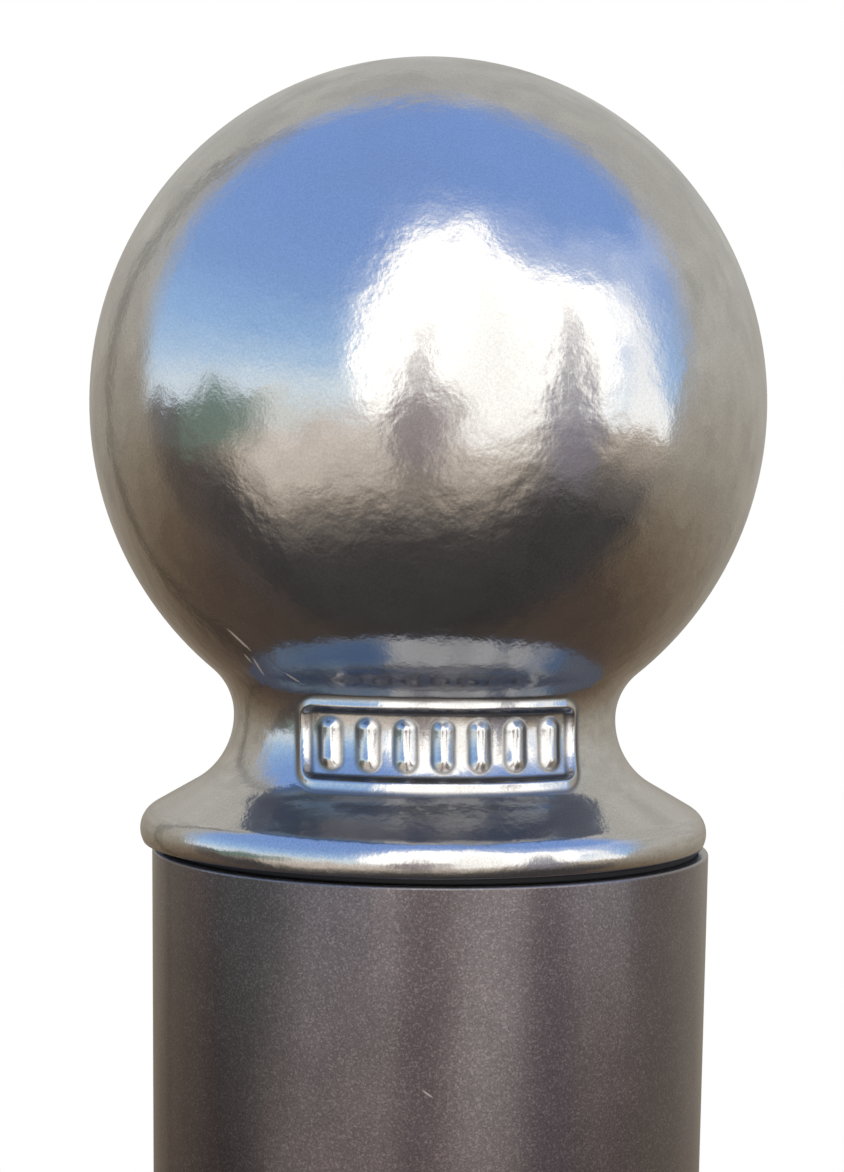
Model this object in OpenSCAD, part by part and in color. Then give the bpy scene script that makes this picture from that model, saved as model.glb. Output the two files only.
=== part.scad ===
// Street bollard: a round steel post with a cast and polished ball head.
// Millimetres. The origin is the centre of the post where it leaves the ground, +Z is up,
// and the cartouche on the head's neck faces -Y.

/* [Post] */
// Height of the whole bollard above the ground
overall_h = 1200; // [900:10:1500]
// Outside diameter of the steel tube
tube_d = 76.1; // [60.3:0.1:101.6]
// Wall of the steel tube
tube_wall = 2.9; // [2:0.1:4]
// Bevel on the outer edge of the tube's top end
tube_bevel = 0.4; // [0.2:0.1:0.8]

/* [Ball and neck] */
// Diameter of the ball
ball_d = 90; // [75:1:110]
// Diameter of the neck at its narrowest
neck_d = 52; // [42:0.2:62]
// Height of the narrowest place above the tube's end
neck_rise = 18; // [17.5:0.1:22]
// Radius of the hollow between the narrowest place and the ball
neck_upper_r = 8; // [5:0.1:12]
// Radius of the hollow between the narrowest place and the collar
neck_lower_r = 10.6; // [6:0.1:11]

/* [Collar] */
// How far the collar's round lip stands out past the tube
lip_overhang = 0.6; // [0.2:0.1:2]
// Radius of the lip's round edge
lip_r = 3.5; // [2.5:0.1:4]
// Height of the lip's widest place above the tube's end
lip_rise = 2.6; // [2.2:0.1:3.9]

/* [Cartouche] */
// Width of the raised frame, edge to edge
frame_w = 36; // [28:0.5:42]
// Height of the raised frame, edge to edge
frame_h = 11.6; // [9:0.2:13]
// Width of the frame's raised border
border_w = 1.8; // [1:0.1:2.2]
// Radius of the corners inside the frame's border
corner_r = 0.4; // [0.2:0.1:1]
// How far the border and the bars stand out of the neck
relief_h = 0.8; // [0.4:0.1:1.2]
// Height of the frame's centre above the tube's end
frame_rise = 16; // [14:0.5:18]
// Number of raised bars inside the frame
bar_count = 7; // [3:1:9]
// Width of one bar
bar_w = 2.8; // [1.2:0.1:3.2]
// Height of one bar
bar_h = 6.6; // [4:0.2:7]

/* [Fit of the head on the tube] */
// Length of the spigot that reaches down into the tube
spigot_len = 55; // [35:1:80]
// Thickness of the sealing ring between the collar and the tube's end
seal_t = 1; // [0.6:0.1:1.5]
// How far the sealing ring lies back from the tube's outside
seal_recess = 1.3; // [0.8:0.1:1.5]
// How far the seated head lies off the tube's axis, towards -X
head_shift = 1; // [0:0.1:1.5]
// Gap left between the spigot and the tube on the side that it lies towards
spigot_gap = 0.25; // [0.1:0.05:0.5]

/* [Hidden] */
$fn = 180;
overlap = 0.5;
spigot_bevel = 1.5;
tube_r = tube_d / 2;
tube_bore_r = tube_r - tube_wall;
ball_r = ball_d / 2;
neck_r = neck_d / 2;
lip_outer_r = tube_r + lip_overhang;
// The ball and the upper hollow touch, which sets the height of the ball's centre.
ball_rise = neck_rise + sqrt(pow(ball_r + neck_upper_r, 2) - pow(neck_r + neck_upper_r, 2));
head_h = ball_rise + ball_r;
tube_h = overall_h - head_h;
spigot_r = tube_bore_r - head_shift - spigot_gap;

// Centres of the arcs in the head's half section, as [radius, height above the tube's end].
ball_c = [0, ball_rise];
upper_c = [neck_r + neck_upper_r, neck_rise];
lower_c = [neck_r + neck_lower_r, neck_rise];
lip_c = [lip_outer_r - lip_r, lip_rise];
// The collar's slope touches the lower hollow and the lip, on opposite sides of the line.
slope_span = lip_c - lower_c;
slope_turn = acos((neck_lower_r + lip_r) / norm(slope_span));
slope_dir = atan2(slope_span[1], slope_span[0]) - slope_turn;
slope_top = lower_c + neck_lower_r * [cos(slope_dir), sin(slope_dir)];
slope_foot = lip_c - lip_r * [cos(slope_dir), sin(slope_dir)];
// Where the ball meets the upper hollow, and where the lip is cut flat underneath.
ball_touch = ball_c + (upper_c - ball_c) * ball_r / norm(upper_c - ball_c);
lip_under_r = lip_c[0] + sqrt(pow(lip_r, 2) - pow(lip_rise - seal_t, 2));

// Half section of the outside of the head from the collar's underside up. grow thickens the neck.
module head_outline(grow = 0) {
    difference() {
        union() {
            polygon([
                [0, seal_t],
                [lip_under_r, seal_t],
                slope_foot,
                slope_top,
                [neck_r, neck_rise],
                ball_touch,
                [0, ball_rise]
            ]);
            intersection() {
                union() {
                    translate(ball_c) circle(r = ball_r);
                    translate(lip_c) circle(r = lip_r);
                }
                translate([0, seal_t]) square([2 * ball_r, head_h]);
            }
        }
        translate(upper_c) circle(r = neck_upper_r - grow);
        intersection() {
            translate(lower_c) circle(r = neck_lower_r - grow);
            square([2 * ball_r, neck_rise]);
        }
    }
}

// Half section of the spigot, bevelled at its lower end so that it finds the tube.
module spigot_outline() {
    polygon([
        [0, -spigot_len],
        [spigot_r - spigot_bevel, -spigot_len],
        [spigot_r, spigot_bevel - spigot_len],
        [spigot_r, seal_t + overlap],
        [0, seal_t + overlap]
    ]);
}

// The rounded rectangle of the frame, drawn in by inset.
module frame_shape(inset = 0) {
    w = frame_w - 2 * inset;
    h = frame_h - 2 * inset;
    r = corner_r + border_w - inset;
    square([w - 2 * r, h], center = true);
    square([w, h - 2 * r], center = true);
    for (x = [-1, 1], y = [-1, 1]) translate([x * (w / 2 - r), y * (h / 2 - r)]) circle(r = r);
}

// A row of upright bars with round ends, evenly spaced inside the border.
module bar_row() {
    pitch = (frame_w - 2 * border_w) / bar_count;
    for (i = [0 : bar_count - 1]) translate([(i - (bar_count - 1) / 2) * pitch, 0]) {
        square([bar_w, bar_h - bar_w], center = true);
        for (y = [-1, 1]) translate([0, y * (bar_h - bar_w) / 2]) circle(d = bar_w);
    }
}

// The cartouche's border and bars, drawn straight back into the neck as a die would form them.
module cartouche() {
    intersection() {
        rotate_extrude() head_outline(grow = relief_h);
        translate([0, 0, frame_rise]) rotate([90, 0, 0]) linear_extrude(height = tube_r) {
            difference() {
                frame_shape();
                frame_shape(inset = border_w);
            }
            bar_row();
        }
    }
}

module post_tube() {
    color("#4b4747") difference() {
        union() {
            cylinder(r = tube_r, h = tube_h - tube_bevel);
            translate([0, 0, tube_h - tube_bevel])
                cylinder(r1 = tube_r, r2 = tube_r - tube_bevel, h = tube_bevel);
        }
        translate([0, 0, -overlap]) cylinder(r = tube_bore_r, h = tube_h + 2 * overlap);
    }
}

module joint_seal() {
    color("#15151a") translate([0, 0, tube_h]) difference() {
        cylinder(r = tube_r - seal_recess, h = seal_t);
        translate([0, 0, -overlap]) cylinder(r = tube_bore_r, h = seal_t + 2 * overlap);
    }
}

module head_casting() {
    color("#b9b7b2") translate([-head_shift, 0, tube_h]) {
        rotate_extrude() head_outline();
        rotate_extrude() spigot_outline();
        cartouche();
    }
}

post_tube();
joint_seal();
head_casting();
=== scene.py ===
# Street bollard: a powder-coated steel tube with a polished cast ball head.
# Everything is in metres in the CAD model's frame. The dictionaries are in millimetres and degrees.
import bmesh
import bpy
import math
import mathutils
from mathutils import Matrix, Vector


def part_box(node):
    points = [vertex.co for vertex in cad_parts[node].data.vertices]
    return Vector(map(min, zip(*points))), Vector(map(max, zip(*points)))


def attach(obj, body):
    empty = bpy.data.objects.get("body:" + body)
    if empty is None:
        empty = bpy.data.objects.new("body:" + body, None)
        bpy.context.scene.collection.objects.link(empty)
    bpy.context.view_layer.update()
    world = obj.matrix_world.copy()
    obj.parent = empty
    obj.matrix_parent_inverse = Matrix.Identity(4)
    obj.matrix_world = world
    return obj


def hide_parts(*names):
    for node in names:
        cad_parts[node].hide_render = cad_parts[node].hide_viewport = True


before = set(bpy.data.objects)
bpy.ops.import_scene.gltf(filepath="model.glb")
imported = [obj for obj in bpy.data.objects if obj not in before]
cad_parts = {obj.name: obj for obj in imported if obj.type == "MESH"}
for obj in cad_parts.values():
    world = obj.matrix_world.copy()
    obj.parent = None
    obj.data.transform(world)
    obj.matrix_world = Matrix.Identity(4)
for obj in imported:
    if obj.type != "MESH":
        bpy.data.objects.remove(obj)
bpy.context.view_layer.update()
mm = 0.001
weldMm = 0.002  # points closer than this become one
noiseLow, noiseHigh = 0.3, 0.7  # where most values of a noise lie

tubeLow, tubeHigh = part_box("post_tube")
headLow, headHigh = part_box("head_casting")
sealLow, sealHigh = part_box("joint_seal")
tubeTop = tubeHigh.z
print("frame loaded, the tube ends at", round(tubeTop, 4))


def paint(hexColour):
    # an sRGB hex colour as the linear values that Blender's sockets take
    channels = [int(hexColour[i:i + 2], 16) / 255 for i in (0, 2, 4)]
    linear = [c / 12.92 if c <= 0.04045 else ((c + 0.055) / 1.055) ** 2.4 for c in channels]
    return (*linear, 1.0)


def addNode(tree, kind, inputs=None, **settings):
    # one node with its settings; an input is a value, a socket, or a node whose first output is linked
    node = tree.nodes.new(kind)
    for name, value in settings.items():
        setattr(node, name, value)
    for place, value in (inputs or {}).items():
        if isinstance(value, bpy.types.Node):
            value = value.outputs[0]
        if isinstance(value, bpy.types.NodeSocket):
            tree.links.new(value, node.inputs[place])
        else:
            node.inputs[place].default_value = value
    return node


def newMaterial(name):
    made = bpy.data.materials.new(name)
    made.use_nodes = True
    made.node_tree.nodes.clear()
    return made, made.node_tree


def arcPoints(centre, radius, start, end, step):
    count = max(2, math.ceil(abs(math.radians(end - start)) * radius / step))
    angles = [math.radians(start + (end - start) * i / count) for i in range(count + 1)]
    return [(centre[0] + radius * math.cos(a), centre[1] + radius * math.sin(a)) for a in angles]


def linePoints(start, end, step):
    # the points between two ends, without the ends themselves
    count = max(1, math.ceil(math.dist(start, end) / step))
    return [tuple(s + (e - s) * i / count for s, e in zip(start, end)) for i in range(1, count)]


head = {
    "neckD": 52,
    "neckRise": 18,
    "neckUpperR": 8,
    "neckLowerR": 10.6,
    "lipOverhang": 0.6,
    "lipR": 3.5,
    "lipRise": 2.6,
    "spigotBevel": 1.5,
    "spigotGap": 0.25,
    # how far apart the section's points are
    "ballStep": 1.5,
    "neckStep": 0.19,
    "lipStep": 0.35,
    "underStep": 1,
    "spigotStep": 12,
    "footStep": 8,
    "columns": 430,
    "frontShare": 0.38,  # 1 spaces the columns evenly, less brings them closer together at the front
}


def headSection():
    tubeR = tubeHigh.x / mm
    ballR = (headHigh.y - headLow.y) / 2 / mm
    headShift = -(headHigh.x + headLow.x) / 2 / mm
    sealT = (sealHigh.z - sealLow.z) / mm
    spigotFoot = (headLow.z - tubeTop) / mm
    spigotR = tubeR - tube["wall"] - headShift - head["spigotGap"]
    neckR = head["neckD"] / 2
    upper = (neckR + head["neckUpperR"], head["neckRise"])
    lower = (neckR + head["neckLowerR"], head["neckRise"])
    lip = (tubeR + head["lipOverhang"] - head["lipR"], head["lipRise"])
    ball = (0, (headHigh.z - tubeTop) / mm - ballR)
    # the collar's slope touches the lower hollow and the lip on opposite sides
    span = math.dist(lip, lower)
    turn = math.degrees(math.acos((head["neckLowerR"] + head["lipR"]) / span))
    slope = math.degrees(math.atan2(lip[1] - lower[1], lip[0] - lower[0])) - turn
    under = math.degrees(math.asin((sealT - lip[1]) / head["lipR"]))
    toBall = math.degrees(math.atan2(ball[1] - upper[1], ball[0] - upper[0]))
    bevel = head["spigotBevel"]
    lipArc = arcPoints(lip, head["lipR"], under, slope + 180, head["lipStep"])
    lowerArc = arcPoints(lower, head["neckLowerR"], slope + 360, 180, head["neckStep"])
    upperArc = arcPoints(upper, head["neckUpperR"], 180, toBall, head["neckStep"])
    ballArc = arcPoints(ball, ballR, toBall - 180, 90, head["ballStep"])
    points = [(0, spigotFoot)]
    points += linePoints((0, spigotFoot), (spigotR - bevel, spigotFoot), head["footStep"])
    points += [(spigotR - bevel, spigotFoot), (spigotR, spigotFoot + bevel)]
    points += linePoints((spigotR, spigotFoot + bevel), (spigotR, sealT), head["spigotStep"])
    points += [(spigotR, sealT)]
    points += linePoints((spigotR, sealT), lipArc[0], head["underStep"])
    points += lipArc
    points += linePoints(lipArc[-1], lowerArc[0], head["lipStep"])
    points += lowerArc + upperArc[1:] + ballArc[1:]
    return points


def ringSection(innerR, outerR, foot, top, edgeR, wallStep):
    # a closed ring with a small round on each edge, from its outer foot up
    corners = [
        ((outerR - edgeR, foot + edgeR), -90, 0),
        ((outerR - edgeR, top - edgeR), 0, 90),
        ((innerR + edgeR, top - edgeR), 90, 180),
        ((innerR + edgeR, foot + edgeR), 180, 270),
    ]
    points = []
    for centre, start, end in corners:
        arc = arcPoints(centre, edgeR, start, end, edgeR / 3)
        if points:
            points += linePoints(points[-1], arc[0], wallStep)
        points += arc
    points += linePoints(points[-1], points[0], wallStep)
    return points + points[:1]


def newTree(name, sockets):
    tree = bpy.data.node_groups.new(name, "GeometryNodeTree")
    tree.interface.new_socket("Geometry", in_out="INPUT", socket_type="NodeSocketGeometry")
    for label, kind in sockets:
        tree.interface.new_socket(label, in_out="INPUT", socket_type="NodeSocket" + kind)
    tree.interface.new_socket("Geometry", in_out="OUTPUT", socket_type="NodeSocketGeometry")
    given = tree.nodes.new("NodeGroupInput")
    return tree, given.outputs


def finishTree(tree, geometry, material):
    realized = addNode(tree, "GeometryNodeRealizeInstances", {"Geometry": geometry})
    coated = addNode(tree, "GeometryNodeSetMaterial", {"Geometry": realized, "Material": material})
    tree.links.new(coated.outputs[0], tree.nodes.new("NodeGroupOutput").inputs[0])


def turnedTree():
    # revolves the mesh's own points round Z, with the columns closest together at the front
    tree, given = newTree("turnedPiece", [
        ("Columns", "Int"),
        ("Front Share", "Float"),
        ("Axis X", "Float"),
        ("Material", "Material"),
    ])
    rows = addNode(tree, "GeometryNodeAttributeDomainSize", {"Geometry": given["Geometry"]})
    columns = addNode(tree, "ShaderNodeMath", {0: given["Columns"], 1: 1}, operation="ADD")
    grid = addNode(tree, "GeometryNodeMeshGrid", {
        "Size X": 1,
        "Size Y": 1,
        "Vertices X": columns,
        "Vertices Y": rows.outputs["Point Count"],
    })
    place = addNode(tree, "ShaderNodeSeparateXYZ", {0: addNode(tree, "GeometryNodeInputPosition")})
    # which point of the section this row is
    share = addNode(tree, "ShaderNodeMath", {0: place.outputs["Y"], 1: 0.5}, operation="ADD")
    lastRow = addNode(tree, "ShaderNodeMath", {0: rows.outputs["Point Count"], 1: 1}, operation="SUBTRACT")
    row = addNode(tree, "ShaderNodeMath", {0: share, 1: lastRow}, operation="MULTIPLY")
    point = addNode(tree, "GeometryNodeSampleIndex", {
        "Geometry": given["Geometry"],
        "Value": addNode(tree, "GeometryNodeInputPosition"),
        "Index": addNode(tree, "ShaderNodeMath", {0: row}, operation="ROUND"),
    }, data_type="FLOAT_VECTOR")
    # turn = v * share + 16 * v^5 * (1 - share), in whole turns, v from -0.5 to 0.5
    v = place.outputs["X"]
    even = addNode(tree, "ShaderNodeMath", {0: v, 1: given["Front Share"]}, operation="MULTIPLY")
    square = addNode(tree, "ShaderNodeMath", {0: v, 1: v}, operation="MULTIPLY")
    fourth = addNode(tree, "ShaderNodeMath", {0: square, 1: square}, operation="MULTIPLY")
    fifth = addNode(tree, "ShaderNodeMath", {0: fourth, 1: v}, operation="MULTIPLY")
    rest = addNode(tree, "ShaderNodeMath", {0: 1, 1: given["Front Share"]}, operation="SUBTRACT")
    steep = addNode(tree, "ShaderNodeMath", {0: rest, 1: 16}, operation="MULTIPLY")
    turn = addNode(tree, "ShaderNodeMath", {0: fifth, 1: steep, 2: even}, operation="MULTIPLY_ADD")
    angle = addNode(tree, "ShaderNodeMath", {0: turn, 1: math.tau}, operation="MULTIPLY")
    turned = addNode(tree, "ShaderNodeVectorRotate", {
        "Vector": point,
        "Angle": angle,
    }, rotation_type="Z_AXIS")
    onAxis = addNode(tree, "ShaderNodeCombineXYZ", {"X": given["Axis X"]})
    where = addNode(tree, "ShaderNodeVectorMath", {0: turned, 1: onAxis})
    shaped = addNode(tree, "GeometryNodeSetPosition", {
        "Geometry": grid.outputs["Mesh"],
        "Position": where,
    })
    closed = addNode(tree, "GeometryNodeMergeByDistance", {"Geometry": shaped, "Distance": weldMm * mm})
    smooth = addNode(tree, "GeometryNodeSetShadeSmooth", {"Geometry": closed})
    finishTree(tree, smooth, given["Material"])
    return tree


cartouche = {
    "frameW": 36,
    "frameH": 11.6,
    "borderW": 1.8,
    "cornerR": 2.2,
    "rise": 16,
    "barCount": 7,
    "barW": 2.8,
    "barH": 6.6,
    "relief": 0.8,
    # the relief starts this far outside an edge, and is whole this far inside it
    "foot": 0.3,
    "crest": -1.25,
    # the width of the painted shade band along the foot of each raised edge
    "shadeBandW": 0.55,
    "waveMm": 9,
    "waveHighMm": 0.03,
}


def cartoucheTree():
    # raises a rounded border and a row of bars out of the neck, as a die forms them
    tree, given = newTree("raisedCartouche", [
        (label, "Float") for label in (
            "Frame Width", "Frame Height", "Border Width", "Corner Radius", "Centre X", "Centre Z",
            "Bars", "Bar Pitch", "Bar Width", "Bar Height", "Relief", "Foot", "Crest",
            "Shade Band Width", "Wave Size", "Wave Height",
        )
    ] + [("Material", "Material")])
    here = addNode(tree, "GeometryNodeInputPosition")
    centre = addNode(tree, "ShaderNodeCombineXYZ", {"X": given["Centre X"], "Z": given["Centre Z"]})
    local = addNode(tree, "ShaderNodeVectorMath", {0: here, 1: centre}, operation="SUBTRACT")
    xyz = addNode(tree, "ShaderNodeSeparateXYZ", {0: local})
    x, z = xyz.outputs["X"], xyz.outputs["Z"]

    # the border: how far from a rounded rectangle's line, less half its width
    halfBorder = addNode(tree, "ShaderNodeMath", {0: given["Border Width"], 1: 2}, operation="DIVIDE")
    lineR = addNode(tree, "ShaderNodeMath", {0: given["Corner Radius"], 1: halfBorder}, operation="SUBTRACT")
    flat = addNode(tree, "ShaderNodeCombineXYZ", {"X": x, "Y": z})
    folded = addNode(tree, "ShaderNodeVectorMath", {0: flat}, operation="ABSOLUTE")
    size = addNode(tree, "ShaderNodeCombineXYZ", {"X": given["Frame Width"], "Y": given["Frame Height"]})
    half = addNode(tree, "ShaderNodeVectorMath", {0: size, "Scale": 0.5}, operation="SCALE")
    inset = addNode(tree, "ShaderNodeCombineXYZ", {"X": given["Corner Radius"], "Y": given["Corner Radius"]})
    corner = addNode(tree, "ShaderNodeVectorMath", {0: half, 1: inset}, operation="SUBTRACT")
    past = addNode(tree, "ShaderNodeVectorMath", {0: folded, 1: corner}, operation="SUBTRACT")
    outside = addNode(tree, "ShaderNodeVectorMath", {0: past, 1: (0, 0, 0)}, operation="MAXIMUM")
    away = addNode(tree, "ShaderNodeVectorMath", {0: outside}, operation="LENGTH")
    pastXy = addNode(tree, "ShaderNodeSeparateXYZ", {0: past})
    nearest = addNode(tree, "ShaderNodeMath", {
        0: pastXy.outputs["X"],
        1: pastXy.outputs["Y"],
    }, operation="MAXIMUM")
    inside = addNode(tree, "ShaderNodeMath", {0: nearest, 1: 0}, operation="MINIMUM")
    signed = addNode(tree, "ShaderNodeMath", {0: away.outputs["Value"], 1: inside}, operation="ADD")
    fromLine = addNode(tree, "ShaderNodeMath", {0: signed, 1: lineR}, operation="SUBTRACT")
    offLine = addNode(tree, "ShaderNodeMath", {0: fromLine}, operation="ABSOLUTE")
    border = addNode(tree, "ShaderNodeMath", {0: offLine, 1: halfBorder}, operation="SUBTRACT")

    # the bars: how far from the nearest upright bar with round ends
    last = addNode(tree, "ShaderNodeMath", {0: given["Bars"], 1: 1}, operation="SUBTRACT")
    middle = addNode(tree, "ShaderNodeMath", {0: last, 1: 2}, operation="DIVIDE")
    steps = addNode(tree, "ShaderNodeMath", {0: x, 1: given["Bar Pitch"]}, operation="DIVIDE")
    spot = addNode(tree, "ShaderNodeMath", {0: steps, 1: middle}, operation="ADD")
    whole = addNode(tree, "ShaderNodeMath", {0: spot}, operation="ROUND")
    number = addNode(tree, "ShaderNodeClamp", {0: whole, 1: 0, 2: last})
    offSpot = addNode(tree, "ShaderNodeMath", {0: spot, 1: number}, operation="SUBTRACT")
    across = addNode(tree, "ShaderNodeMath", {0: offSpot, 1: given["Bar Pitch"]}, operation="MULTIPLY")
    straight = addNode(tree, "ShaderNodeMath", {
        0: given["Bar Height"],
        1: given["Bar Width"],
    }, operation="SUBTRACT")
    halfStraight = addNode(tree, "ShaderNodeMath", {0: straight, 1: 2}, operation="DIVIDE")
    upright = addNode(tree, "ShaderNodeMath", {0: z}, operation="ABSOLUTE")
    beyond = addNode(tree, "ShaderNodeMath", {0: upright, 1: halfStraight}, operation="SUBTRACT")
    beyond = addNode(tree, "ShaderNodeMath", {0: beyond, 1: 0}, operation="MAXIMUM")
    toBar = addNode(tree, "ShaderNodeCombineXYZ", {"X": across, "Y": beyond})
    barAway = addNode(tree, "ShaderNodeVectorMath", {0: toBar}, operation="LENGTH")
    halfBar = addNode(tree, "ShaderNodeMath", {0: given["Bar Width"], 1: 2}, operation="DIVIDE")
    bars = addNode(tree, "ShaderNodeMath", {0: barAway.outputs["Value"], 1: halfBar}, operation="SUBTRACT")

    # a soft foot outside each edge, a round crest inside it, on the front only
    edge = addNode(tree, "ShaderNodeMath", {0: border, 1: bars}, operation="MINIMUM")
    raised = addNode(tree, "ShaderNodeMapRange", {
        "Value": edge,
        "From Min": given["Foot"],
        "From Max": given["Crest"],
        "To Min": 0,
        "To Max": given["Relief"],
    }, interpolation_type="SMOOTHSTEP")
    front = addNode(tree, "ShaderNodeMath", {0: xyz.outputs["Y"], 1: 0}, operation="LESS_THAN")
    relief = addNode(tree, "ShaderNodeMath", {0: raised, 1: front}, operation="MULTIPLY")

    # the slow waviness that hand polishing leaves on a casting
    pitch = addNode(tree, "ShaderNodeMath", {0: 1, 1: given["Wave Size"]}, operation="DIVIDE")
    wave = addNode(tree, "ShaderNodeTexNoise", {"Vector": here, "Scale": pitch, "Detail": 1})
    swell = addNode(tree, "ShaderNodeMath", {0: wave.outputs["Fac"], 1: 0.5}, operation="SUBTRACT")
    swell = addNode(tree, "ShaderNodeMath", {
        0: swell,
        1: given["Wave Height"],
        2: relief,
    }, operation="MULTIPLY_ADD")
    normal = addNode(tree, "GeometryNodeInputNormal")
    lift = addNode(tree, "ShaderNodeVectorMath", {0: normal, "Scale": swell}, operation="SCALE")
    lifted = addNode(tree, "GeometryNodeSetPosition", {"Geometry": given["Geometry"], "Offset": lift})
    # painted shade: a narrow band along the foot of every raised edge, darker in colour, and duller where
    # polishing wheels don't reach
    outer = addNode(tree, "ShaderNodeMapRange", {
        "Value": edge,
        "From Min": given["Shade Band Width"],
        "From Max": 0,
    }, interpolation_type="SMOOTHSTEP")
    climb = addNode(tree, "ShaderNodeMath", {0: given["Shade Band Width"], 1: -1}, operation="MULTIPLY")
    inner = addNode(tree, "ShaderNodeMapRange", {
        "Value": edge,
        "From Min": climb,
        "From Max": 0,
    }, interpolation_type="SMOOTHSTEP")
    band = addNode(tree, "ShaderNodeMath", {0: outer, 1: inner}, operation="MULTIPLY")
    band = addNode(tree, "ShaderNodeMath", {0: band, 1: front}, operation="MULTIPLY")
    marked = addNode(tree, "GeometryNodeStoreNamedAttribute", {
        "Geometry": lifted,
        "Name": "shadeBand",
        "Value": band,
    }, data_type="FLOAT", domain="POINT")
    finishTree(tree, marked, given["Material"])
    return tree


def addTree(piece, tree, values):
    # the inputs are set by each socket's identifier, before the piece is first evaluated
    modifier = piece.modifiers.new(tree.name, "NODES")
    modifier.node_group = tree
    for item in tree.interface.items_tree:
        if item.in_out == "INPUT" and item.name in values:
            modifier[item.identifier] = values[item.name]


def turnedPiece(name, section, trees):
    mesh = bpy.data.meshes.new(name + "Section")
    points = [(0, -r * mm, tubeTop + z * mm) for r, z in section]
    mesh.from_pydata(points, [(i, i + 1) for i in range(len(points) - 1)], [])
    source = bpy.data.objects.new(name + "Section", mesh)
    bpy.context.scene.collection.objects.link(source)
    for tree, values in trees:
        addTree(source, tree, values)
    evaluated = source.evaluated_get(bpy.context.evaluated_depsgraph_get())
    made = bpy.data.meshes.new_from_object(evaluated)
    made.name = name
    piece = bpy.data.objects.new(name, made)
    bpy.context.scene.collection.objects.link(piece)
    bpy.data.objects.remove(source)
    print(name, "has", sum(len(p.vertices) - 2 for p in made.polygons), "triangles")
    return piece


polish = {
    "colour": "e4e2de",
    "colourWorn": "d6d2cc",
    "roughnessLow": 0.09,
    "roughnessHigh": 0.17,
    "dimpleMm": 2.3,
    "dimpleDeepMm": 0.1,
    "dimpleLeast": 0.35,  # the shallowest dimples, as a share of that
    "peelMm": 0.4,
    "peelDeepMm": 0.012,
    "poreMm": 0.26,
    "poreDark": 0.88,
    "poreLight": 1.07,
    "broadMm": 14,
    "scratchWideMm": 0.22,
    "scratchLongMm": 9,
    "scratchTurn": (20, 35, 15),
    "scratchFrom": 0.7,
    "scratchFull": 0.78,
    "scratchDull": 0.12,
    # painted shade along the foot of the cartouche's raised edges, and how much that band dulls the polish
    "paintedShadeColour": "4b4643",
    "paintedShadeAmount": 0.7,
    "shadeBandDull": 0.3,
    "markColour": "9a8768",
    "markAmount": 0.6,
    "markDull": 0.35,
    # scratches knocked into the hollow under the ball, across and up from the middle of the tube's end
    "marks": [
        {"across": -26.3, "up": 28.8, "long": 4.2, "wide": 0.3, "tilt": 43},
        {"across": -23.9, "up": 25.4, "long": 3.0, "wide": 0.26, "tilt": 58},
        {"across": -19.6, "up": 24.1, "long": 2.2, "wide": 0.24, "tilt": 31},
        {"across": -25.2, "up": 26.4, "long": 1.6, "wide": 0.2, "tilt": 50},
    ],
}


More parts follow.
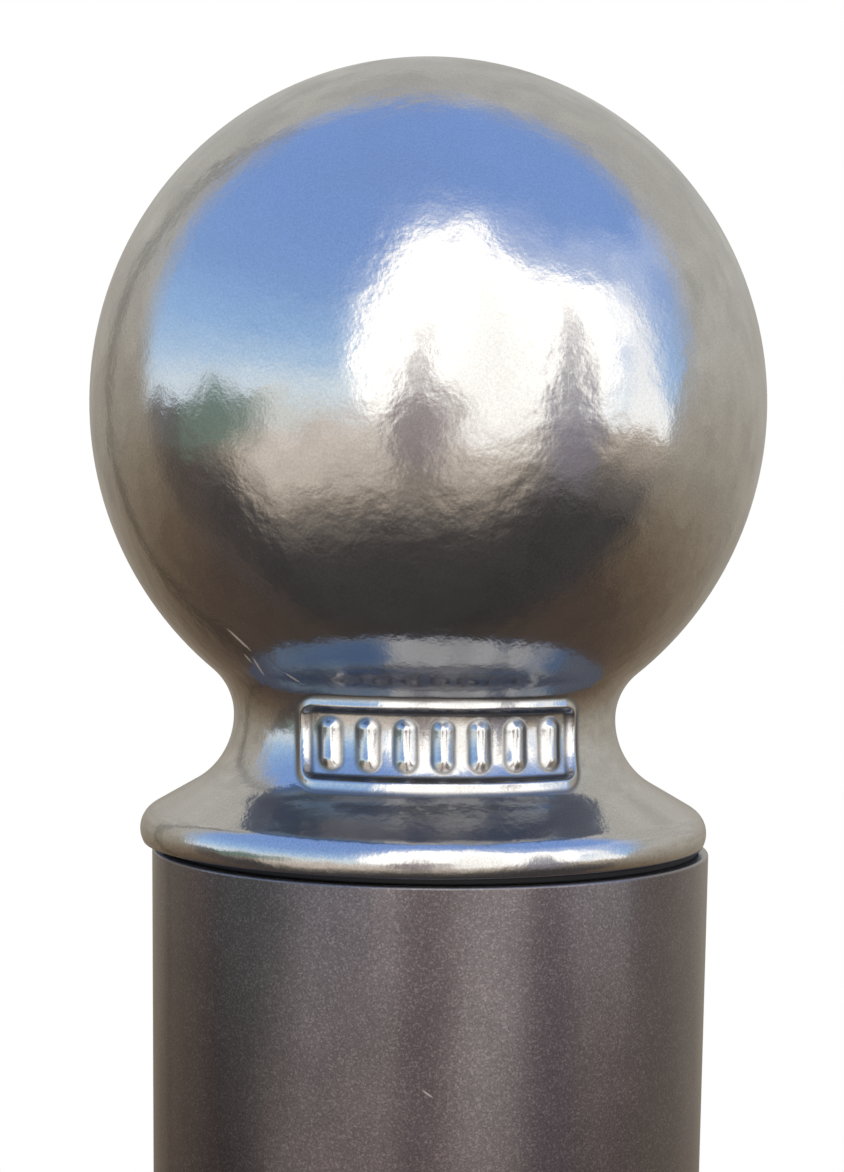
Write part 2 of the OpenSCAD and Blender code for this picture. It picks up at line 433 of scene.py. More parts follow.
def polishedCastAluminium():
    # aluminium, gravity cast and buffed: a mirror that wavers over soft dimples, with hair-fine scratches
    made, tree = newMaterial("polishedCastAluminium")
    place = addNode(tree, "ShaderNodeTexCoord").outputs["Object"]
    dimples = addNode(tree, "ShaderNodeTexNoise", {
        "Vector": place,
        "Scale": 1 / (polish["dimpleMm"] * mm),
        "Detail": 2,
        "Roughness": 0.45,
    })
    peel = addNode(tree, "ShaderNodeTexNoise", {
        "Vector": place,
        "Scale": 1 / (polish["peelMm"] * mm),
        "Detail": 2,
    })
    broad = addNode(tree, "ShaderNodeTexNoise", {
        "Vector": place,
        "Scale": 1 / (polish["broadMm"] * mm),
        "Detail": 2,
    })
    streaks = addNode(tree, "ShaderNodeMapping", {
        "Vector": place,
        "Rotation": [math.radians(angle) for angle in polish["scratchTurn"]],
        "Scale": (
            1 / (polish["scratchWideMm"] * mm),
            1 / (polish["scratchWideMm"] * mm),
            1 / (polish["scratchLongMm"] * mm),
        ),
    })
    hairs = addNode(tree, "ShaderNodeTexNoise", {"Vector": streaks, "Scale": 1, "Detail": 1})
    scratch = addNode(tree, "ShaderNodeMapRange", {
        "Value": hairs.outputs["Fac"],
        "From Min": polish["scratchFrom"],
        "From Max": polish["scratchFull"],
    })
    roughness = addNode(tree, "ShaderNodeMapRange", {
        "Value": broad.outputs["Fac"],
        "From Min": 0.35,
        "From Max": 0.65,
        "To Min": polish["roughnessLow"],
        "To Max": polish["roughnessHigh"],
    })
    dull = addNode(tree, "ShaderNodeMath", {
        0: scratch,
        1: polish["scratchDull"],
        2: roughness,
    }, operation="MULTIPLY_ADD")
    colour = addNode(tree, "ShaderNodeMix", {
        "Factor": broad.outputs["Fac"],
        "A": paint(polish["colour"]),
        "B": paint(polish["colourWorn"]),
    }, data_type="RGBA")
    shadeBand = addNode(tree, "ShaderNodeAttribute", attribute_name="shadeBand").outputs["Fac"]
    shadeBandMask = addNode(tree, "ShaderNodeMath", {0: shadeBand, 1: polish["paintedShadeAmount"]}, operation="MULTIPLY")
    # the placed scratches, on the front only, each fading out towards its ends and sides
    frontOnly = addNode(tree, "ShaderNodeSeparateXYZ", {0: place}).outputs["Y"]
    frontOnly = addNode(tree, "ShaderNodeMath", {0: frontOnly, 1: 0}, operation="LESS_THAN")
    scuffed = 0
    for mark in polish["marks"]:
        centred = addNode(tree, "ShaderNodeMapping", {
            "Vector": place,
            "Location": (mark["across"] * mm, 0, tubeTop + mark["up"] * mm),
            "Rotation": (0, math.radians(mark["tilt"]), 0),
            "Scale": (mark["long"] * mm, 1, mark["wide"] * mm),
        }, vector_type="TEXTURE")
        flat = addNode(tree, "ShaderNodeVectorMath", {0: centred, 1: (2, 0, 2)}, operation="MULTIPLY")
        offMark = addNode(tree, "ShaderNodeVectorMath", {0: flat}, operation="LENGTH")
        onMark = addNode(tree, "ShaderNodeMapRange", {
            "Value": offMark.outputs["Value"],
            "From Min": 1.1,
            "From Max": 0.5,
            "To Max": polish["markAmount"],
        })
        scuffed = addNode(tree, "ShaderNodeMath", {0: onMark, 1: scuffed}, operation="MAXIMUM")
    scuffed = addNode(tree, "ShaderNodeMath", {0: scuffed, 1: frontOnly}, operation="MULTIPLY")
    for layer, amount in ((scuffed, polish["markDull"]), (shadeBandMask, polish["shadeBandDull"])):
        dull = addNode(tree, "ShaderNodeMath", {0: layer, 1: amount, 2: dull}, operation="MULTIPLY_ADD")
    # pin-fine pores of the casting, drawn a little coarser than they are
    pores = addNode(tree, "ShaderNodeTexNoise", {
        "Vector": place,
        "Scale": 1 / (polish["poreMm"] * mm),
        "Detail": 2,
        "Roughness": 0.7,
    })
    pitted = addNode(tree, "ShaderNodeMapRange", {
        "Value": pores.outputs["Fac"],
        "From Min": noiseLow,
        "From Max": noiseHigh,
        "To Min": polish["poreDark"],
        "To Max": polish["poreLight"],
    })
    speckled = addNode(tree, "ShaderNodeVectorMath", {
        0: colour.outputs["Result"],
        "Scale": pitted,
    }, operation="SCALE")
    # painted shade: the band along the foot of the cartouche's raised edges is darkened
    paintedShadeMix = addNode(tree, "ShaderNodeMix", {
        "Factor": shadeBandMask,
        "A": speckled,
        "B": paint(polish["paintedShadeColour"]),
    }, data_type="RGBA")
    scratched = addNode(tree, "ShaderNodeMix", {
        "Factor": scuffed,
        "A": paintedShadeMix.outputs["Result"],
        "B": paint(polish["markColour"]),
    }, data_type="RGBA")
    # a scratch isn't a mirror, so it takes the plain light
    metallic = addNode(tree, "ShaderNodeMath", {0: 1, 1: scuffed}, operation="SUBTRACT")
    # the dimples are deeper in some places than in others
    patchy = addNode(tree, "ShaderNodeMapRange", {
        "Value": broad.outputs["Fac"],
        "From Min": 0.38,
        "From Max": 0.62,
        "To Min": polish["dimpleLeast"],
        "To Max": 1,
    })
    soft = addNode(tree, "ShaderNodeBump", {
        "Strength": patchy,
        "Height": dimples.outputs["Fac"],
        "Distance": polish["dimpleDeepMm"] * mm,
    })
    fine = addNode(tree, "ShaderNodeBump", {
        "Height": peel.outputs["Fac"],
        "Distance": polish["peelDeepMm"] * mm,
        "Normal": soft,
    })
    shader = addNode(tree, "ShaderNodeBsdfPrincipled", {
        "Base Color": scratched.outputs["Result"],
        "Metallic": metallic,
        "Roughness": dull,
        "Normal": fine,
    })
    addNode(tree, "ShaderNodeOutputMaterial", {"Surface": shader})
    return made


coat = {
    "colourDark": "554b4c",
    "colourLight": "726667",
    "flakeColour": "a9a09d",
    # the light colour of the painted highlight on the rim
    "rimHighlightColour": "c9c5be",
    "speckleMm": 0.26,
    "flakeMm": 0.2,
    "mottleMm": 7,
    "mottleDark": 0.9,
    "mottleLight": 1.1,
    "flakeAmount": 0.36,
    "metallic": 0.9,
    "roughnessLow": 0.28,
    "roughnessHigh": 0.36,
    "coatRoughness": 0.16,
    "peelMm": 0.8,
    "peelDeepMm": 0.006,
    # the rim's painted highlight, where the coat is also worn, starts and is whole this far below the tube's
    # end
    "rimStartMm": 0.4,
    "rimWholeMm": 0.15,
    "rimHighlightAmount": 0.25,
    # one light scratch on the front, below the tube's end
    "scratchAcrossMm": -3.5,
    "scratchDownMm": 25.4,
    "scratchLongMm": 1.8,
    "scratchWideMm": 0.26,
    "scratchTilt": 35,
    "scratchAmount": 0.8,
}


def metallicPowderCoat():
    # steel under a baked metallic powder: satin brown-grey, fine flakes, thin on the cut rim and lightened
    # there by a painted highlight
    made, tree = newMaterial("metallicPowderCoat")
    place = addNode(tree, "ShaderNodeTexCoord").outputs["Object"]
    grain = addNode(tree, "ShaderNodeTexNoise", {
        "Vector": place,
        "Scale": 1 / (coat["speckleMm"] * mm),
        "Detail": 2,
        "Roughness": 0.7,
    })
    mottle = addNode(tree, "ShaderNodeTexNoise", {
        "Vector": place,
        "Scale": 1 / (coat["mottleMm"] * mm),
        "Detail": 3,
    })
    flakes = addNode(tree, "ShaderNodeTexVoronoi", {"Vector": place, "Scale": 1 / (coat["flakeMm"] * mm)})
    lot = addNode(tree, "ShaderNodeSeparateColor", {"Color": flakes.outputs["Color"]})
    flake = addNode(tree, "ShaderNodeMapRange", {
        "Value": lot.outputs["Red"],
        "From Min": 0.7,
        "From Max": 1.0,
        "To Max": coat["flakeAmount"],
    })
    tint = addNode(tree, "ShaderNodeMapRange", {
        "Value": grain.outputs["Fac"],
        "From Min": noiseLow,
        "From Max": noiseHigh,
    })
    base = addNode(tree, "ShaderNodeMix", {
        "Factor": tint,
        "A": paint(coat["colourDark"]),
        "B": paint(coat["colourLight"]),
    }, data_type="RGBA")
    flaked = addNode(tree, "ShaderNodeMix", {
        "Factor": flake,
        "A": base.outputs["Result"],
        "B": paint(coat["flakeColour"]),
    }, data_type="RGBA")
    depth = addNode(tree, "ShaderNodeMapRange", {
        "Value": mottle.outputs["Fac"],
        "From Min": noiseLow,
        "From Max": noiseHigh,
        "To Min": coat["mottleDark"],
        "To Max": coat["mottleLight"],
    })
    mottled = addNode(tree, "ShaderNodeVectorMath", {
        0: flaked.outputs["Result"],
        "Scale": depth,
    }, operation="SCALE")

    # a painted highlight on the rim, where the coat is also worn, and one scratch below it
    xyz = addNode(tree, "ShaderNodeSeparateXYZ", {0: place})
    rimHighlight = addNode(tree, "ShaderNodeMapRange", {
        "Value": xyz.outputs["Z"],
        "From Min": tubeTop - coat["rimStartMm"] * mm,
        "From Max": tubeTop - coat["rimWholeMm"] * mm,
        "To Max": coat["rimHighlightAmount"],
    })
    centred = addNode(tree, "ShaderNodeMapping", {
        "Vector": place,
        "Location": (coat["scratchAcrossMm"] * mm, 0, tubeTop - coat["scratchDownMm"] * mm),
        "Rotation": (0, math.radians(coat["scratchTilt"]), 0),
        "Scale": (coat["scratchLongMm"] * mm, 1, coat["scratchWideMm"] * mm),
    }, vector_type="TEXTURE")
    flat = addNode(tree, "ShaderNodeVectorMath", {0: centred, 1: (2, 0, 2)}, operation="MULTIPLY")
    offMark = addNode(tree, "ShaderNodeVectorMath", {0: flat}, operation="LENGTH")
    mark = addNode(tree, "ShaderNodeMapRange", {
        "Value": offMark.outputs["Value"],
        "From Min": 1.1,
        "From Max": 0.6,
        "To Max": coat["scratchAmount"],
    })
    front = addNode(tree, "ShaderNodeMath", {0: xyz.outputs["Y"], 1: 0}, operation="LESS_THAN")
    scratch = addNode(tree, "ShaderNodeMath", {0: mark, 1: front}, operation="MULTIPLY")
    wearAndHighlight = addNode(tree, "ShaderNodeMath", {0: rimHighlight, 1: scratch}, operation="MAXIMUM")
    wornAndLit = addNode(tree, "ShaderNodeMix", {
        "Factor": wearAndHighlight,
        "A": mottled,
        "B": paint(coat["rimHighlightColour"]),
    }, data_type="RGBA")
    satin = addNode(tree, "ShaderNodeMapRange", {
        "Value": grain.outputs["Fac"],
        "From Min": noiseLow,
        "From Max": noiseHigh,
        "To Min": coat["roughnessHigh"],
        "To Max": coat["roughnessLow"],
    })
    peel = addNode(tree, "ShaderNodeTexNoise", {
        "Vector": place,
        "Scale": 1 / (coat["peelMm"] * mm),
        "Detail": 1,
    })
    bump = addNode(tree, "ShaderNodeBump", {
        "Height": peel.outputs["Fac"],
        "Distance": coat["peelDeepMm"] * mm,
    })
    shader = addNode(tree, "ShaderNodeBsdfPrincipled", {
        "Base Color": wornAndLit.outputs["Result"],
        "Metallic": coat["metallic"],
        "Roughness": satin,
        "Coat Weight": 1,
        "Coat Roughness": coat["coatRoughness"],
        "Normal": bump,
    })
    addNode(tree, "ShaderNodeOutputMaterial", {"Surface": shader})
    return made


rubber = {
    "colourDark": "101012",
    "colourLight": "1c1b1d",
    "grainMm": 0.4,
    "grainDeepMm": 0.01,
    "roughness": 0.6,
}


def sealingRubber():
    # black moulded rubber: matt, with a faint grain
    made, tree = newMaterial("sealingRubber")
    place = addNode(tree, "ShaderNodeTexCoord").outputs["Object"]
    grain = addNode(tree, "ShaderNodeTexNoise", {
        "Vector": place,
        "Scale": 1 / (rubber["grainMm"] * mm),
        "Detail": 2,
    })
    colour = addNode(tree, "ShaderNodeMix", {
        "Factor": grain.outputs["Fac"],
        "A": paint(rubber["colourDark"]),
        "B": paint(rubber["colourLight"]),
    }, data_type="RGBA")
    bump = addNode(tree, "ShaderNodeBump", {
        "Height": grain.outputs["Fac"],
        "Distance": rubber["grainDeepMm"] * mm,
    })
    shader = addNode(tree, "ShaderNodeBsdfPrincipled", {
        "Base Color": colour.outputs["Result"],
        "Roughness": rubber["roughness"],
        "Normal": bump,
    })
    addNode(tree, "ShaderNodeOutputMaterial", {"Surface": shader})
    return made


def makeHead(turned):
    metal = polishedCastAluminium()
    headAxis = (headHigh.x + headLow.x) / 2
    relief = {
        "Frame Width": cartouche["frameW"] * mm,
        "Frame Height": cartouche["frameH"] * mm,
        "Border Width": cartouche["borderW"] * mm,
        "Corner Radius": cartouche["cornerR"] * mm,
        "Centre X": headAxis,
        "Centre Z": tubeTop + cartouche["rise"] * mm,
        "Bars": float(cartouche["barCount"]),
        "Bar Pitch": (cartouche["frameW"] - 2 * cartouche["borderW"]) / cartouche["barCount"] * mm,
        "Bar Width": cartouche["barW"] * mm,
        "Bar Height": cartouche["barH"] * mm,
        "Relief": cartouche["relief"] * mm,
        "Foot": cartouche["foot"] * mm,
        "Crest": cartouche["crest"] * mm,
        "Shade Band Width": cartouche["shadeBandW"] * mm,
        "Wave Size": cartouche["waveMm"] * mm,
        "Wave Height": cartouche["waveHighMm"] * mm,
        "Material": metal,
    }
    turn = {
        "Columns": head["columns"],
        "Front Share": head["frontShare"],
        "Axis X": headAxis,
        "Material": metal,
    }
    casting = turnedPiece("headCasting", headSection(), [(turned, turn), (cartoucheTree(), relief)])
    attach(casting, "root")
    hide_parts("head_casting")


tube = {
    "wall": 2.9,
    "edgeR": 0.4,
    "wallStep": 60,
    "columns": 192,
    "frontShare": 1.0,
}


def makePost(turned):
    outerR = tubeHigh.x / mm
    foot = (tubeLow.z - tubeTop) / mm
    wall = ringSection(outerR - tube["wall"], outerR, foot, 0, tube["edgeR"], tube["wallStep"])
    turn = {
        "Columns": tube["columns"],
        "Front Share": tube["frontShare"],
        "Axis X": 0.0,
        "Material": metallicPowderCoat(),
    }
    post = turnedPiece("postTube", wall, [(turned, turn)])
    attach(post, "root")
    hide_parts("post_tube")


seal = {
    "edgeR": 0.3,
    "wallStep": 2,
    "columns": 160,
    "frontShare": 1.0,
}


def makeSeal(turned):
    innerR = tubeHigh.x / mm - tube["wall"]
    top = (sealHigh.z - tubeTop) / mm
    ring = ringSection(innerR, sealHigh.x / mm, 0, top, seal["edgeR"], seal["wallStep"])
    turn = {
        "Columns": seal["columns"],
        "Front Share": seal["frontShare"],
        "Axis X": 0.0,
        "Material": sealingRubber(),
    }
    washer = turnedPiece("jointSeal", ring, [(turned, turn)])
    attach(washer, "root")
    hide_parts("joint_seal")


turnedRound = turnedTree()
makeHead(turnedRound)
makePost(turnedRound)
makeSeal(turnedRound)
print("bollard made")


camera = {
    "away": 288.6,
    "aboveTube": 39.2,
    "azimuth": -5.3,
    "pitch": 7.2,
    "roll": 0.71,
    "lens": 64.84,
    "shiftX": -0.0073,
    "shiftY": 0.204,
    "sensorAcross": 36,
    "nearest": 20,
}


def makeCamera():
    data = bpy.data.cameras.new("camera")
    data.lens = camera["lens"]
    data.sensor_width = camera["sensorAcross"]
    data.shift_x = camera["shiftX"]
    data.shift_y = camera["shiftY"]
    data.clip_start = camera["nearest"] * mm
    made = bpy.data.objects.new("camera", data)
    bpy.context.scene.collection.objects.link(made)
    side = math.radians(camera["azimuth"])
    away = camera["away"] * mm
    made.location = (math.sin(side) * away, -math.cos(side) * away, tubeTop + camera["aboveTube"] * mm)
    aim = mathutils.Euler((math.radians(90 - camera["pitch"]), 0, side)).to_matrix()
    rolled = aim @ mathutils.Matrix.Rotation(math.radians(camera["roll"]), 3, "Z")
    made.rotation_euler = rolled.to_euler()
    bpy.context.scene.camera = made


world = {
    "plainStrength": 0.95,
}


def makeWorld():
    # white to the camera and to mirrors, plain soft light to every other surface
    made = bpy.data.worlds.new("softWhite")
    made.use_nodes = True
    bpy.context.scene.world = made
    tree = made.node_tree
    tree.nodes.clear()
    rays = addNode(tree, "ShaderNodeLightPath")
    seen = addNode(tree, "ShaderNodeMath", {
        0: rays.outputs["Is Camera Ray"],
        1: rays.outputs["Is Glossy Ray"],
    }, operation="MAXIMUM")
    seen = addNode(tree, "ShaderNodeMath", {
        0: seen,
        1: rays.outputs["Is Transmission Ray"],
    }, operation="MAXIMUM")
    strength = addNode(tree, "ShaderNodeMapRange", {
        "Value": seen,
        "To Min": world["plainStrength"],
        "To Max": 1,
    })
    background = addNode(tree, "ShaderNodeBackground", {"Color": (1, 1, 1, 1), "Strength": strength})
    addNode(tree, "ShaderNodeOutputWorld", {"Surface": background})


# what the polished head mirrors: azimuth 0 is the cartouche's side, 90 is +X, and height 0 the horizon
outdoors = {
    "radius": 6000,
    "gain": 1.36,
    # painted shade on what comes by two mirrors or more
    "twiceMirroredShade": 0.4,
    "twiceMirroredGamma": 1.35,
    "recessShadeHaze": 0.3,
    "recessShadeColour": "a4c2ff",
    # bands of colour, each by its height
    "sky": [(90, "7695d2"), (50, "7797d3"), (31, "7c9dd4"), (17, "8fb1de"), (8, "a8c3e2"), (1, "cbd9e6")],
    "ground": [
        (-6, "c6bfba"), (-20, "beb5ad"), (-29, "958c82"), (-36, "625d5a"), (-45, "3e3c3d"), (-90, "302f30"),
    ],
    "wall": [
        (90, "a6a6a4"), (20, "a6a5a1"), (8, "9c9891"), (-5, "8a847a"), (-15, "796f62"),
        (-27, "605447"), (-40, "4b403a"), (-90, "38342f"),
    ],
    # the wall fills the part of the view that lies towards this direction
    "wallTilt": (0.2, 1.0, -0.27),
    "wallEdge": 0.13,
    "wallSeam": -138,
    "seamDark": 0.6,
    "seamHalf": 1,
    "seamFaded": 5,
    "horizonFoot": -8,
    "horizonTop": 1,
    # an oval as seen from the front, cut off along a slant and at its top
    "cloudCentre": (0.2, 0.0, 0.18),
    "cloudAcross": (0.7, 1.0, 0.72),
    "cloudSlant": (0.44, 0.0, 0.9),
    "cloudSlantGain": 1.185,
    "cloudTopGain": 1.1707,
    "cloudFray": 0.32,
    "cloudHaze": {"start": 1.14, "full": 0.97, "amount": 0.2},
    "cloudCore": {"start": 1.02, "full": 0.9, "amount": 1},
    "cloudBright": 1.25,
    # how far the outlines wander, and how far the sky and the wall are tilted
    "shakeScale": 3.5,
    "shakeSideways": 16,
    "shakeUpright": 14,
    "skyTilt": 6,
    "wallSink": 7,
    "wallFray": 0.12,
    "wallSoft": 0.13,
    # the shade lowers the ground's bands by this many degrees between two azimuths
    "rightShade": {"start": 12, "full": 44, "lower": 17},
    "leftShade": {"start": -58, "full": -84, "lower": 24},
    "stoneScale": 11,
    "stoneDark": 0.8,
    "stoneLight": 1.2,
    # upright shapes on the horizon
    "shapes": [
        {"azimuth": 70, "width": 30, "foot": -9, "top": 44, "amount": 0.8, "colour": "ffffff"},
        {"azimuth": 16, "width": 44, "foot": -18, "top": 60, "amount": 1.0, "colour": "ffffff"},
        {"azimuth": -55, "width": 50, "foot": -7, "top": 6, "amount": 0.9, "colour": "c9cdcc"},
        {"azimuth": -103, "width": 44, "foot": -80, "top": 8, "amount": 0.9, "colour": "4d4542"},
        {"azimuth": -79, "width": 50, "foot": -14, "top": 11, "amount": 0.95, "colour": "61736b"},
        {"azimuth": 1, "width": 20, "foot": -14, "top": 14, "amount": 0.7, "colour": "a39b9a"},
        {"azimuth": -9, "width": 19, "foot": -46, "top": 4, "amount": 0.85, "colour": "565355"},
        {"azimuth": -7.5, "width": 24, "foot": -28, "top": 35, "amount": 0.8, "colour": "958c90"},
        {"azimuth": 43, "width": 29, "foot": -30, "top": 42, "amount": 0.88, "colour": "787685"},
        {"azimuth": 92, "width": 30, "foot": -12, "top": 26, "amount": 0.9, "colour": "96928e"},
    ],
}


def heightColours(tree, elevation, stops):
    # bands of colour by the height in degrees, blended from stop to stop
    place = addNode(tree, "ShaderNodeMapRange", {"Value": elevation, "From Min": -90, "From Max": 90})
    ramp = addNode(tree, "ShaderNodeValToRGB", {"Fac": place})
    elements = ramp.color_ramp.elements
    for index, (degrees, colour) in enumerate(sorted(stops)):
        position = (degrees + 90) / 180
        element = elements[index] if index < 2 else elements.new(position)
        element.position = position
        element.color = paint(colour)
    return ramp.outputs["Color"]


def makeSurroundings():
    # a great ball round the bollard that only mirrored rays see: sky, cloud, trees, paving and a wall
    made, tree = newMaterial("mirroredSurroundings")
    here = addNode(tree, "ShaderNodeTexCoord").outputs["Object"]
    direction = addNode(tree, "ShaderNodeVectorMath", {0: here}, operation="NORMALIZE")
    coarse = addNode(tree, "ShaderNodeTexNoise", {
        "Vector": direction, "Scale": outdoors["shakeScale"], "Detail": 4, "Roughness": 0.6,
    })
    blur = addNode(tree, "ShaderNodeMath", {0: coarse.outputs["Fac"], 1: 0.5}, operation="SUBTRACT")
    xyz = addNode(tree, "ShaderNodeSeparateXYZ", {0: direction})
    x, y, z = (xyz.outputs[axis] for axis in "XYZ")
    ahead = addNode(tree, "ShaderNodeMath", {0: y, 1: -1}, operation="MULTIPLY")
    turn = addNode(tree, "ShaderNodeMath", {0: x, 1: ahead}, operation="ARCTAN2")
    azimuth = addNode(tree, "ShaderNodeMath", {0: turn, 1: 180 / math.pi}, operation="MULTIPLY")
    rise = addNode(tree, "ShaderNodeMath", {0: z}, operation="ARCSINE")
    level = addNode(tree, "ShaderNodeMath", {0: rise, 1: 180 / math.pi}, operation="MULTIPLY")
    # both angles are shaken a little, so that no outline is straight
    azimuth = addNode(tree, "ShaderNodeMath", {
        0: blur, 1: outdoors["shakeSideways"], 2: azimuth,
    }, operation="MULTIPLY_ADD")
    shaken = addNode(tree, "ShaderNodeMath", {
        0: blur, 1: outdoors["shakeUpright"], 2: level,
    }, operation="MULTIPLY_ADD")

    # the sky is paler towards the sun, on the left
    skyward = addNode(tree, "ShaderNodeMath", {
        0: x, 1: outdoors["skyTilt"], 2: level,
    }, operation="MULTIPLY_ADD")
    sky = heightColours(tree, skyward, outdoors["sky"])
    centred = addNode(tree, "ShaderNodeVectorMath", {
        0: direction, 1: outdoors["cloudCentre"],
    }, operation="SUBTRACT")
    centred = addNode(tree, "ShaderNodeVectorMath", {0: centred, 1: (1, 0, 1)}, operation="MULTIPLY")
    scaled = addNode(tree, "ShaderNodeVectorMath", {
        0: centred, 1: outdoors["cloudAcross"],
    }, operation="DIVIDE")
    far = addNode(tree, "ShaderNodeVectorMath", {0: scaled}, operation="LENGTH")
    slant = addNode(tree, "ShaderNodeVectorMath", {
        0: direction, 1: outdoors["cloudSlant"],
    }, operation="DOT_PRODUCT")
    slant = addNode(tree, "ShaderNodeMath", {
        0: slant.outputs["Value"], 1: outdoors["cloudSlantGain"],
    }, operation="MULTIPLY")
    edge = addNode(tree, "ShaderNodeMath", {0: far.outputs["Value"], 1: slant}, operation="MAXIMUM")
    high = addNode(tree, "ShaderNodeMath", {0: z, 1: outdoors["cloudTopGain"]}, operation="MULTIPLY")
    edge = addNode(tree, "ShaderNodeMath", {0: edge, 1: high}, operation="MAXIMUM")
    edge = addNode(tree, "ShaderNodeMath", {
        0: blur, 1: outdoors["cloudFray"], 2: edge,
    }, operation="MULTIPLY_ADD")
    cover = 0
    for veil in (outdoors["cloudHaze"], outdoors["cloudCore"]):
        layer = addNode(tree, "ShaderNodeMapRange", {
            "Value": edge, "From Min": veil["start"], "From Max": veil["full"], "To Max": veil["amount"],
        }, interpolation_type="SMOOTHSTEP")
        cover = addNode(tree, "ShaderNodeMath", {0: layer, 1: cover}, operation="MAXIMUM")
    view = addNode(tree, "ShaderNodeMix", {
        "Factor": cover, "A": sky, "B": (*(outdoors["cloudBright"],) * 3, 1),
    }, data_type="RGBA").outputs["Result"]

    # sunlit paving in front, in the shade near the bollard and to both sides
    lowered = shaken
    for side in (outdoors["rightShade"], outdoors["leftShade"]):
        shade = addNode(tree, "ShaderNodeMapRange", {
            "Value": azimuth, "From Min": side["start"], "From Max": side["full"], "To Max": side["lower"],
        }, interpolation_type="SMOOTHSTEP")
        lowered = addNode(tree, "ShaderNodeMath", {0: lowered, 1: shade}, operation="SUBTRACT")
    ground = heightColours(tree, lowered, outdoors["ground"])
    horizon = addNode(tree, "ShaderNodeMapRange", {
        "Value": shaken, "From Min": outdoors["horizonFoot"], "From Max": outdoors["horizonTop"],
    }, interpolation_type="SMOOTHSTEP")
    view = addNode(tree, "ShaderNodeMix", {
        "Factor": horizon, "A": ground, "B": view,
    }, data_type="RGBA").outputs["Result"]

    for shape in outdoors["shapes"]:
        # widest at the horizon and narrowing to its top, like a tree
        off = addNode(tree, "ShaderNodeMath", {0: azimuth, 1: shape["azimuth"]}, operation="SUBTRACT")
        off = addNode(tree, "ShaderNodeMath", {0: off}, operation="ABSOLUTE")
        across = addNode(tree, "ShaderNodeMath", {0: off, 1: shape["width"] / 2}, operation="DIVIDE")
        above = addNode(tree, "ShaderNodeMath", {0: shaken, 1: 0}, operation="MAXIMUM")
        above = addNode(tree, "ShaderNodeMath", {
            0: above, 1: 1 / shape["top"], 2: across,
        }, operation="MULTIPLY_ADD")
        mask = addNode(tree, "ShaderNodeMapRange", {
            "Value": above, "From Min": 1, "From Max": 0.3, "To Max": shape["amount"],
        }, interpolation_type="SMOOTHSTEP")
        below = addNode(tree, "ShaderNodeMapRange", {
            "Value": shaken, "From Min": shape["foot"], "From Max": shape["foot"] / 3,
        }, interpolation_type="SMOOTHSTEP")
        mask = addNode(tree, "ShaderNodeMath", {0: mask, 1: below}, operation="MULTIPLY")
        view = addNode(tree, "ShaderNodeMix", {
            "Factor": mask, "A": view, "B": paint(shape["colour"]),
        }, data_type="RGBA").outputs["Result"]

    # the wall stands in deeper shade on its left
    sunk = addNode(tree, "ShaderNodeMath", {
        0: x, 1: outdoors["wallSink"], 2: level,
    }, operation="MULTIPLY_ADD")
    wall = heightColours(tree, sunk, outdoors["wall"])
    offSeam = addNode(tree, "ShaderNodeMath", {0: azimuth, 1: outdoors["wallSeam"]}, operation="SUBTRACT")
    offSeam = addNode(tree, "ShaderNodeMath", {0: offSeam}, operation="ABSOLUTE")
    seam = addNode(tree, "ShaderNodeMapRange", {
        "Value": offSeam,
        "From Min": outdoors["seamHalf"],
        "From Max": outdoors["seamFaded"],
        "To Min": outdoors["seamDark"],
    }, interpolation_type="SMOOTHSTEP")
    wall = addNode(tree, "ShaderNodeVectorMath", {0: wall, "Scale": seam}, operation="SCALE")
    behind = addNode(tree, "ShaderNodeVectorMath", {
        0: direction, 1: outdoors["wallTilt"],
    }, operation="DOT_PRODUCT")
    behind = addNode(tree, "ShaderNodeMath", {
        0: blur, 1: outdoors["wallFray"], 2: behind.outputs["Value"],
    }, operation="MULTIPLY_ADD")
    inWall = addNode(tree, "ShaderNodeMapRange", {
        "Value": behind,
        "From Min": outdoors["wallEdge"] - outdoors["wallSoft"],
        "From Max": outdoors["wallEdge"] + outdoors["wallSoft"],
    }, interpolation_type="SMOOTHSTEP")
    view = addNode(tree, "ShaderNodeMix", {
        "Factor": inWall, "A": view, "B": wall,
    }, data_type="RGBA").outputs["Result"]
    # stones and joints, too far off to be told apart
    stones = addNode(tree, "ShaderNodeTexNoise", {
        "Vector": direction, "Scale": outdoors["stoneScale"], "Detail": 4, "Roughness": 0.7,
    })
    stony = addNode(tree, "ShaderNodeMapRange", {
        "Value": stones.outputs["Fac"],
        "From Min": noiseLow,
        "From Max": noiseHigh,
        "To Min": outdoors["stoneDark"],
        "To Max": outdoors["stoneLight"],
    })
    sunny = addNode(tree, "ShaderNodeMath", {0: 1, 1: inWall}, operation="SUBTRACT")
    smooth = addNode(tree, "ShaderNodeMath", {0: horizon, 1: sunny}, operation="MULTIPLY")
    grainy = addNode(tree, "ShaderNodeMix", {"Factor": smooth, "A": stony, "B": 1.0})
    view = addNode(tree, "ShaderNodeVectorMath", {0: view, "Scale": grainy}, operation="SCALE")
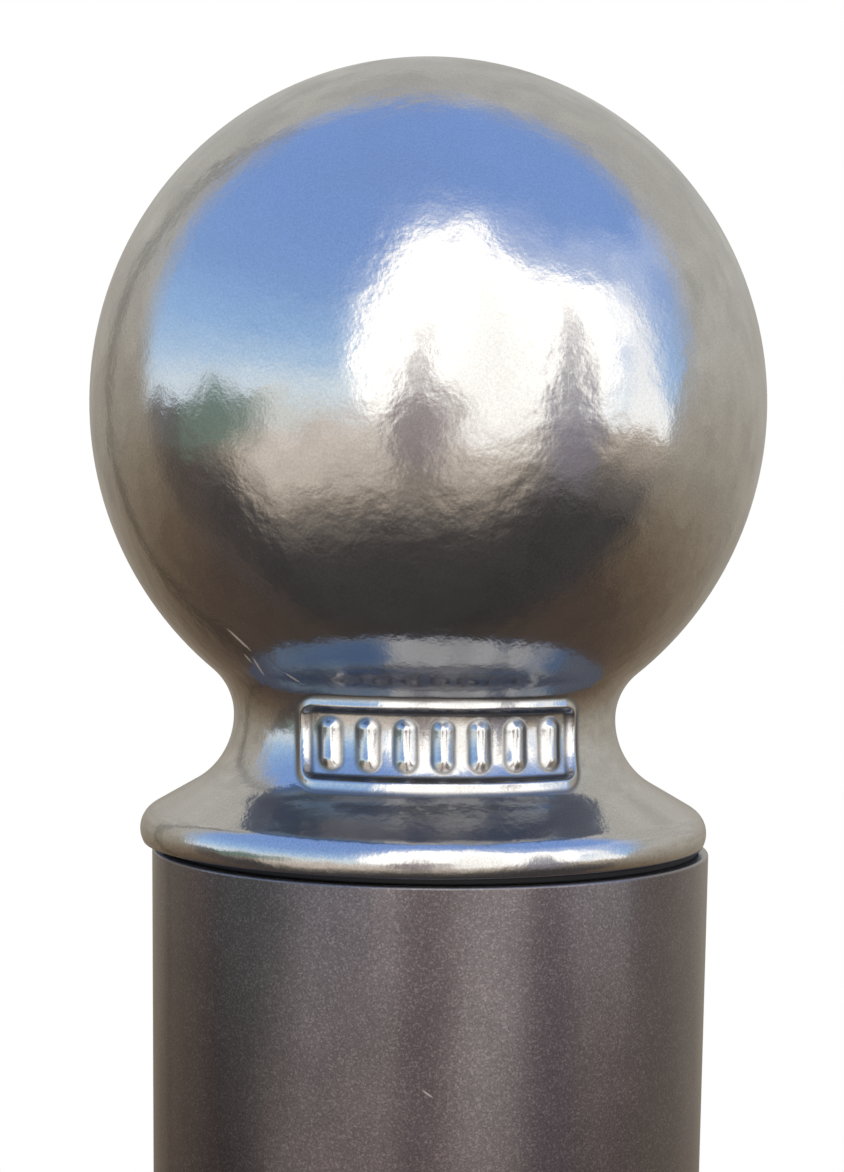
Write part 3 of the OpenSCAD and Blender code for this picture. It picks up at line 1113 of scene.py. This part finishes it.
    # painted shade: what reaches the eye by two mirrors or more, as in the hollow under the ball, is made
    # dimmer, deeper and bluer
    bounces = addNode(tree, "ShaderNodeLightPath").outputs["Glossy Depth"]
    once = outdoors["gain"]
    strength, deeper, hazy = (addNode(tree, "ShaderNodeMapRange", {
        "Value": bounces, "From Min": 1, "From Max": 2, "To Min": shallow, "To Max": deep,
    }) for shallow, deep in (
        (once, once * outdoors["twiceMirroredShade"]),
        (1, outdoors["twiceMirroredGamma"]),
        (0, outdoors["recessShadeHaze"]),
    ))
    view = addNode(tree, "ShaderNodeGamma", {"Color": view, "Gamma": deeper})
    view = addNode(tree, "ShaderNodeMix", {
        "Factor": hazy, "A": view, "B": paint(outdoors["recessShadeColour"]),
    }, data_type="RGBA").outputs["Result"]
    light = addNode(tree, "ShaderNodeEmission", {"Color": view, "Strength": strength})
    addNode(tree, "ShaderNodeOutputMaterial", {"Surface": light})
    made.cycles.emission_sampling = "NONE"

    shell = bmesh.new()
    bmesh.ops.create_icosphere(shell, subdivisions=4, radius=outdoors["radius"] * mm)
    mesh = bpy.data.meshes.new("surroundings")
    shell.to_mesh(mesh)
    shell.free()
    mesh.materials.append(made)
    tent = bpy.data.objects.new("surroundings", mesh)
    bpy.context.scene.collection.objects.link(tent)
    tent.location.z = tubeTop
    tent.visible_camera = False
    tent.visible_diffuse = False
    tent.visible_transmission = False
    tent.visible_volume_scatter = False
    tent.visible_shadow = False


studio = {
    "floorAcross": 5000,
    "floorColour": "d9d8d5",
    "floorRoughness": 0.8,
    "grainMm": 6,
    "grainDark": 0.97,
    "grainLight": 1.03,
    "fadeStart": 500,
    "fadeEnd": 1600,
}


def makeFloor():
    # pale floor that fades to the white surroundings, and keeps the bollard's shadow near its foot
    made, tree = newMaterial("paleFloor")
    place = addNode(tree, "ShaderNodeTexCoord").outputs["Object"]
    flat = addNode(tree, "ShaderNodeVectorMath", {0: place, 1: (1, 1, 0)}, operation="MULTIPLY")
    away = addNode(tree, "ShaderNodeVectorMath", {0: flat}, operation="LENGTH")
    fade = addNode(tree, "ShaderNodeMapRange", {
        "Value": away.outputs["Value"],
        "From Min": studio["fadeStart"] * mm,
        "From Max": studio["fadeEnd"] * mm,
    }, interpolation_type="SMOOTHSTEP")
    grain = addNode(tree, "ShaderNodeTexNoise", {
        "Vector": place,
        "Scale": 1 / (studio["grainMm"] * mm),
        "Detail": 3,
    })
    tone = addNode(tree, "ShaderNodeMapRange", {
        "Value": grain.outputs["Fac"],
        "To Min": studio["grainDark"],
        "To Max": studio["grainLight"],
    })
    colour = addNode(tree, "ShaderNodeVectorMath", {
        0: paint(studio["floorColour"])[:3],
        "Scale": tone,
    }, operation="SCALE")
    surface = addNode(tree, "ShaderNodeBsdfPrincipled", {
        "Base Color": colour,
        "Roughness": studio["floorRoughness"],
    })
    white = addNode(tree, "ShaderNodeEmission", {"Color": (1, 1, 1, 1), "Strength": 1})
    rays = addNode(tree, "ShaderNodeLightPath")
    seen = addNode(tree, "ShaderNodeMath", {
        0: rays.outputs["Is Camera Ray"],
        1: fade,
    }, operation="MULTIPLY")
    mixed = addNode(tree, "ShaderNodeMixShader", {0: seen, 1: surface, 2: white})
    addNode(tree, "ShaderNodeOutputMaterial", {"Surface": mixed})

    half = studio["floorAcross"] / 2 * mm
    mesh = bpy.data.meshes.new("floor")
    corners = [(-half, -half, 0), (half, -half, 0), (half, half, 0), (-half, half, 0)]
    mesh.from_pydata(corners, [], [(0, 1, 2, 3)])
    mesh.materials.append(made)
    floor = bpy.data.objects.new("floor", mesh)
    bpy.context.scene.collection.objects.link(floor)
    floor.visible_glossy = False


# the lamps point at this share of the tube's height
lightAim = 0.9
softLight = {
    "key": {"place": (900, -1100, 2100), "across": 900, "watts": 9},
    "fill": {"place": (-1500, -900, 1700), "across": 1400, "watts": 6},
}


def makeLights():
    target = tubeHigh * lightAim
    for name, values in softLight.items():
        data = bpy.data.lights.new(name, "AREA")
        data.shape = "DISK"
        data.size = values["across"] * mm
        data.energy = values["watts"]
        lamp = bpy.data.objects.new(name, data)
        bpy.context.scene.collection.objects.link(lamp)
        lamp.location = [c * mm for c in values["place"]]
        aim = lamp.location - target
        lamp.rotation_euler = aim.to_track_quat("Z", "Y").to_euler()
        lamp.visible_glossy = False


makeCamera()
makeWorld()
makeSurroundings()
makeFloor()
makeLights()
bpy.context.scene.view_settings.view_transform = "Standard"
print("studio set up")
